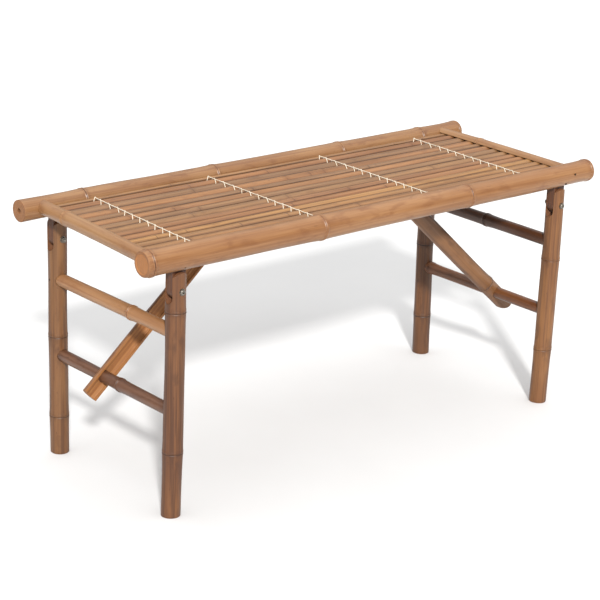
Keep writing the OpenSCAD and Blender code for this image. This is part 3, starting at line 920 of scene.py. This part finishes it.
def leg(place, seed):
    node = f"leg_{place}"
    low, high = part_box(node)
    side = place.split("_")[1]
    _, side_y = sides_of(place)
    rings = LEG_RINGS[place]
    look = {"streak": 0.7, "fleck": 0.7, "rough": 0.48, "coat": 0.04, "marks": LEG_MARKS[place]}
    bark = skin(f"{node}_skin", LEG_TONES[place], seed, rings, **look)
    core = sawn(f"{node}_cut", SAWN_LEG, seed + 1, LEG_BORE, LEG_RADIUS)
    pivot = middle(f"pivot_washers_{side}")
    axis = (pivot.x, (low.y + high.y) / 2, 0.0)
    piece = culm(f"{node}_culm", leg_shape(rings, side_y, seed), Matrix.Translation(axis), [bark, core])
    cutters = fork_cutters(pivot.z) + [rung_hole(level, side, side_y) for level in ("upper", "lower")]
    for cutter in cutters:
        cutter.matrix_world = Matrix.Translation(axis)
    cut(piece, cutters)
    return finish_piece(piece, f"leg_frame_{side}", "leg_bamboo", node)


def leg_shape(rings, side_y, seed):
    """A culm a little longer than the leg, for the fork's round top; its foot leans to the other leg."""
    shape = {"length": LEG_STOCK, "radii": (LEG_RADIUS, LEG_RADIUS - 0.0003), "rings": rings, "seed": seed}
    shape.update(sides=56, start=(LEG_BORE, rings[0] - 0.004), lump=0.0003, oval=0.014)
    shape.update(lean=(-side_y * LEG_LEAN, LEG_LEAN_START), ring=0.6)
    return shape


def rung_hole(level, side, side_y):
    height = middle(f"{level}_rung_{side}").z
    ends = sorted((side_y * 0.0104, -side_y * 0.04))
    return prism("cutter_rung", circle((0, height), RUNG_RADIUS[level] + 0.0005), 1, *ends)


def rung(level, side, seed):
    node = f"{level}_rung_{side}"
    low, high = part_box(node)
    centre = middle(node)
    length = high.y - low.y
    radius = RUNG_RADIUS[level] - 0.0001
    ring = RUNG_RING[level, side] + length / 2
    shape = {"length": length, "radii": (radius, radius), "rings": [ring], "seed": seed}
    shape.update(sides=44, lump=0.0001, bow=(0.0, RUNG_BOW[level]))
    palette = RUNG_TONES[level, side]
    bark = skin(f"{node}_skin", palette, seed, [ring], 0.5, 0.7, 0.42, 0.12)
    core = sawn(f"{node}_cut", SAWN_LEG, seed + 1, 0.0, radius)
    piece = culm(f"{node}_culm", shape, placed((centre.x, low.y, centre.z), Y, Z), [bark, core])
    return finish_piece(piece, f"leg_frame_{side}", f"{level}_rung_bamboo", node)


# ---------- hinge bolts ----------


def hexagon(theta, radius):
    """Radius of a six-sided outline whose corners are at that radius."""
    turn = np.mod(theta, math.pi / 3) - math.pi / 6
    return radius * math.cos(math.pi / 6) / np.cos(turn)


def turned(rows, sides=48):
    """The points of a shape turned about Z, from (height, radius) rows."""
    theta = np.linspace(0, 2 * np.pi, sides, endpoint=False)
    grid = []
    for height, radius in rows:
        r = radius + 0 * theta
        grid.append(np.stack([r * np.cos(theta), r * np.sin(theta), height + 0 * theta], axis=-1))
    return np.array(grid)


def bolt_rows():
    """A button-head bolt with a socket in its head; 0 is the leg's axis, the head looks to +Z."""
    theta = np.linspace(0, 2 * np.pi, 48, endpoint=False)
    rows = [(-BOLT_END, 0.0006), (-BOLT_END, 0.0023), (-BOLT_END + 0.0006, 0.0028)]
    thread = np.arange(-BOLT_END + 0.0009, -0.0165, 0.0004)
    rows += [(z, BOLT_RADIUS - (0.00005 if i % 2 else 0.0003)) for i, z in enumerate(thread)]
    top = BOLT_SEAT + BOLT_HEAD
    rows += [(-0.016, BOLT_RADIUS), (BOLT_SEAT, BOLT_RADIUS), (BOLT_SEAT, HEX_RADIUS - 0.0002)]
    rows += [(BOLT_SEAT + 0.0003, HEX_RADIUS), (BOLT_SEAT + 0.0011, HEX_RADIUS)]
    for share in (0.25, 0.5, 0.75, 1.0):
        lean = share * math.pi / 2
        spread = HEX_RADIUS - 0.0018 * (1 - math.cos(lean))
        rows.append((BOLT_SEAT + 0.0011 + (BOLT_HEAD - 0.0011) * math.sin(lean), spread))
    rows += [(top, 0.0029), (top - 0.0003, hexagon(theta, 0.0025)), (top - 0.0026, hexagon(theta, 0.0024))]
    rows += [(top - 0.0030, 0.0003)]
    return rows


def nut_rows():
    theta = np.linspace(0, 2 * np.pi, 48, endpoint=False)
    low, high = -BOLT_SEAT - NUT_HEIGHT, -BOLT_SEAT
    flats = hexagon(theta, HEX_RADIUS)
    rows = [(low + 0.0003, 0.0027), (low, 0.0032), (low, HEX_RADIUS * 0.84), (low + 0.0005, flats)]
    rows += [(high - 0.0005, flats), (high, HEX_RADIUS * 0.84), (high, 0.0032), (high - 0.0003, 0.0027)]
    return rows


def bolt_matrix(place):
    side = place.split("_")[1]
    outward = sides_of(place)[1]
    low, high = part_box(f"leg_{place}")
    washers = middle(f"pivot_washers_{side}")
    return placed((washers.x, (low.y + high.y) / 2, washers.z), Y * outward, X)


def bolt(place, material):
    node = f"pivot_bolt_{place}"
    part = loft(turned(bolt_rows()), 0)
    piece = make_piece(f"{node}_button_head", [part], [material, material], bolt_matrix(place), 35)
    return finish_piece(piece, f"leg_frame_{place.split('_')[1]}", "bolt_steel", node)


def nuts(side, material):
    node = f"pivot_nuts_{side}"
    parts = [loft(turned(nut_rows()), 0, bolt_matrix(f"{end}_{side}")) for end in ("front", "back")]
    piece = make_piece(f"{node}_hex", parts, [material, material], None, 35)
    return finish_piece(piece, f"leg_frame_{side}", "bolt_steel", node)


# ---------- braces ----------


def brace_matrix(side):
    """Stands a brace on its rung, its own X down across it and its own Y to its crown."""
    rung_at = middle("lower_rung_left")
    along = Vector((math.cos(BRACE_ANGLE), 0, math.sin(BRACE_ANGLE)))
    matrix = placed((rung_at.x, BRACE_OFFSET, rung_at.z), along, Y.cross(along))
    return matrix if side == "left" else Matrix.Rotation(math.pi, 4, "Z") @ matrix


def brace_grid(side, seed):
    """Half a culm along its own Z: rounded sawn edges, a growth ring outside, its partition inside."""
    rng = np.random.default_rng(seed)
    node = BRACE_NODE[side] + BRACE_NODE_THICK / 2
    length = BRACE_TAIL[side] + BRACE_REACH
    z = stations(length, [node + BRACE_TAIL[side]], 0.008) - BRACE_TAIL[side]
    z = np.concatenate([[-BRACE_TAIL[side]], z, [BRACE_REACH]])[:, None]
    turn = np.linspace(0, math.pi, 33)[None, :]
    past = z - node
    lumps = 0.0003 * np.cos(2 * turn + 21 * z + rng.uniform(0, 6)) + 0.0002 * np.cos(3 * turn - 13 * z)
    outer = BRACE_RADIUS - 0.0003 + lumps + 0.7 * ring_height(past + 0.0007 * np.cos(turn))
    edge = 0.0011
    at_edge = (turn < 0.01) | (turn > math.pi - 0.01)
    out_x = np.where(at_edge, outer - edge, outer) * np.cos(turn)
    out_y = np.maximum(outer * np.sin(turn), np.where(at_edge, 0.0, edge * 0.55))
    in_x, in_y = brace_hollow(z, past, turn)
    x, y = np.hstack([out_x, in_x]), np.hstack([out_y, in_y])
    x = x + 0.0012 * np.sin(math.pi * (z + BRACE_TAIL[side]) / length)
    return np.stack([x, y, z + 0 * x], axis=-1), turn.shape[1]


def brace_hollow(z, past, turn):
    """The trough in a brace's sawn face: almost closed at the node, deepest just below it."""
    wall = BRACE_WALL * (1 + 0.06 * np.cos(turn + 17 * z))
    plate = 1 / (1 + (past / (BRACE_NODE_THICK * 0.62)) ** 6)
    inner = (BRACE_RADIUS - wall) * (1 - 0.62 * plate) + 0.0002 * np.cos(9 * turn)
    below = np.exp(-np.clip(-past, 0, 1) / 0.016) * (past < 0)
    deep = (BRACE_HOLLOW - 0.0008 + 0.0035 * below) / (BRACE_RADIUS - BRACE_WALL)
    back = turn[:, ::-1]
    return inner * np.cos(back), deep * inner * np.sin(back)


def brace_cutters(side):
    """Hole for the rung, notch and lip for the catch bar, and the right brace's round end."""
    hole = circle((0, 0), RUNG_RADIUS["lower"] + 0.0004)
    lean = Vector((-math.cos(NOTCH_SLANT), math.sin(NOTCH_SLANT)))
    bowl = circle((-CATCH_ACROSS, CATCH_ALONG), CATCH_ROOM, 20, math.pi / 2 - NOTCH_SLANT, -math.pi)
    mouth = [tuple(Vector(corner) + lean * 0.04) for corner in (bowl[-1], bowl[0])]
    lip = box_outline((-0.04, CATCH_ALONG + 0.004), (-LIP_HEIGHT, BRACE_REACH + 0.02))
    outlines = {"cutter_hole": hole, "cutter_notch": bowl + mouth, "cutter_lip": lip}
    if side == "right":
        centre = BRACE_RADIUS - BRACE_TAIL[side]
        arch = circle((0, centre), BRACE_RADIUS - 0.0006, 32, 0.0, -math.pi)
        beyond = [(-THROUGH, centre), (-THROUGH, -0.09), (THROUGH, -0.09)]
        outlines["cutter_end"] = [(THROUGH, centre)] + arch + beyond
    return [prism(name, outline, 1, -THROUGH, THROUGH) for name, outline in outlines.items()]


def brace(side, seed):
    node = f"brace_{side}"
    grid, outer_count = brace_grid(side, seed)
    slots = np.ones((1, grid.shape[1]), int)
    slots[0, : outer_count - 1] = 0
    ring = [BRACE_NODE[side] + BRACE_NODE_THICK / 2]
    bark = skin(f"{node}_skin", BRACE_TONES[side], seed, ring, 0.5, 0.5, 0.44, 0.12)
    inside = sawn(f"{node}_inside", BRACE_INSIDE, seed + 1, 0.0, BRACE_RADIUS)
    matrix = brace_matrix(side)
    piece = make_piece(f"{node}_half_culm", [loft(grid, slots)], [bark, inside], matrix)
    cutters = brace_cutters(side)
    for cutter in cutters:
        cutter.matrix_world = matrix
    cut(piece, cutters)
    return finish_piece(piece, node, "brace_bamboo", node)


# ---------- stage ----------

CAMERA_TARGET = Vector((-0.0372, 0.0, 0.2876))
CAMERA_DISTANCE = 4.153
CAMERA_LENS = 120.23
CAMERA_AZIMUTH = math.radians(-40.871)
CAMERA_ELEVATION = math.radians(18.924)
CAMERA_ROLL = math.radians(2.092)
KEY_DIRECTION = Vector((-0.47, -0.70, 0.52))
KEY_STRENGTH = 3.7
SKY_LOW = 0.02
SKY_HIGH = 1.72
FLOOR_SHADE = 0.68
WALL_SHADE = 0.93


def make_camera():
    level = math.cos(CAMERA_ELEVATION)
    back = Vector((math.sin(CAMERA_AZIMUTH) * level, -math.cos(CAMERA_AZIMUTH) * level,
                   math.sin(CAMERA_ELEVATION)))
    right = Vector((math.cos(CAMERA_AZIMUTH), math.sin(CAMERA_AZIMUTH), 0))
    up = back.cross(right)
    turned_right = right * math.cos(CAMERA_ROLL) + up * math.sin(CAMERA_ROLL)
    turned_up = up * math.cos(CAMERA_ROLL) - right * math.sin(CAMERA_ROLL)
    matrix = Matrix((turned_right, turned_up, back)).transposed().to_4x4()
    matrix.translation = CAMERA_TARGET + back * CAMERA_DISTANCE
    data = bpy.data.cameras.new("camera")
    data.lens = CAMERA_LENS
    data.sensor_width = 36.0
    data.clip_end = 200.0
    camera = link("camera", data)
    camera.matrix_world = matrix
    bpy.context.scene.camera = camera


def make_floor():
    half = 40.0
    corners = [(-half, -half, 0), (half, -half, 0), (half, half, 0), (-half, half, 0)]
    mesh = bpy.data.meshes.new("floor")
    mesh.from_pydata(corners, [], [[0, 1, 2, 3]])
    s = Shading("floor_pale")
    tones = [(FLOOR_SHADE + step,) * 3 + (1,) for step in (0.0, 0.02)]
    grey = s.mix(s.remap(s.noise((3, 3, 3), 3), 0.3, 0.7), *tones)
    mesh.materials.append(s.finish(grey, 0.85))
    link("floor", mesh)


def make_key():
    """One soft key light from the front left."""
    sun = bpy.data.lights.new("key", "SUN")
    sun.energy = KEY_STRENGTH
    sun.angle = math.radians(4.5)
    sun.color = (1.0, 0.985, 0.965)
    key = link("key", sun)
    key.rotation_mode = "QUATERNION"
    key.rotation_quaternion = KEY_DIRECTION.to_track_quat("Z", "Y")


def make_room():
    """Soft light that grows from the horizon up, and a pale wall that only the camera sees."""
    world = bpy.data.worlds.new("soft_room")
    bpy.context.scene.world = world
    world.use_nodes = True
    tree = world.node_tree
    where = tree.nodes.new("ShaderNodeTexCoord")
    split = tree.nodes.new("ShaderNodeSeparateXYZ")
    strength = tree.nodes.new("ShaderNodeMapRange")
    for socket, value in {"From Min": 0.0, "From Max": 1.0, "To Min": SKY_LOW, "To Max": SKY_HIGH}.items():
        strength.inputs[socket].default_value = value
    tree.links.new(where.outputs["Generated"], split.inputs[0])
    tree.links.new(split.outputs["Z"], strength.inputs["Value"])
    path = tree.nodes.new("ShaderNodeLightPath")
    wall = tree.nodes.new("ShaderNodeMix")
    wall.inputs["B"].default_value = WALL_SHADE
    tree.links.new(path.outputs["Is Camera Ray"], wall.inputs["Factor"])
    tree.links.new(strength.outputs[0], wall.inputs["A"])
    tree.links.new(wall.outputs["Result"], tree.nodes["Background"].inputs["Strength"])
    tree.nodes["Background"].inputs["Color"].default_value = (1.0, 1.0, 1.0, 1.0)
    bpy.context.scene.view_settings.view_transform = "Standard"


# ---------- build ----------


def build_top():
    closed, hollow = (0.0195, 0.0015), (0.013, 0.1)
    front = rail_shape("long_rail_front", FRONT_RAIL_RADII, FRONT_RAIL_RINGS, 11, closed, hollow)
    front.update(worn=0.0014, bow=(-0.0012, 0.0))
    narrow, hollow = (0.0055, 0.09), (0.010, 0.1)
    back = rail_shape("long_rail_back", BACK_RAIL_RADII, BACK_RAIL_RINGS, 23, narrow, hollow)
    long_rail("long_rail_front", front, RAIL_FRONT, 11)
    long_rail("long_rail_back", back, RAIL_BACK, 23)
    shapes = {"long_rail_front": front, "long_rail_back": back}
    end_rail("left", shapes, 31)
    end_rail("right", shapes, 37)
    rng = np.random.default_rng(5)
    for number in range(1, len(SLAT_TONES) + 1):
        slat(number, rng)
    boxes = [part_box(f"slat_{number:02d}") for number in range(1, len(SLAT_TONES) + 1)]
    cord_material = cotton("lashing_cotton", 3)
    for line in range(len(LASH_SKEW)):
        lashing(line, boxes, cord_material)
        small_bar(f"cross_bar_{line + 1}", "bar_bamboo", 80 + line)
    small_bar("catch_bar_left", "bar_bamboo", 91, 36)
    small_bar("catch_bar_right", "bar_bamboo", 92, 36)


def build_legs():
    tongue_material = skin("tongue_wood_grain", TONGUE, 71, (), 0.8, 0.4, 0.5, 0.04, width=0.5)
    zinc = steel("zinc_plate", (150, 144, 134), 0.40, 7)
    for seed, place in enumerate(LEG_RINGS):
        leg(place, 100 + 7 * seed)
        tongue(place, tongue_material)
        bolt(place, zinc)
    for seed, (level, side) in enumerate(RUNG_RING):
        rung(level, side, 150 + 7 * seed)
    for side in ("left", "right"):
        nuts(side, zinc)
        brace(side, 201 if side == "left" else 209)


def finish_cad_nodes():
    """The washers and nails keep their CAD shape and get their metal."""
    washer_steel = steel("washer_zinc", (158, 152, 142), 0.38, 9)
    nail_steel = steel("nail_iron", (78, 64, 54), 0.55, 12)
    for name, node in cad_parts.items():
        if node.hide_render:
            continue
        metal = washer_steel if name.startswith("pivot_washers") else nail_steel
        node.data.materials.clear()
        node.data.materials.append(metal)


make_camera()
make_floor()
make_key()
make_room()
build_top()
build_legs()
finish_cad_nodes()
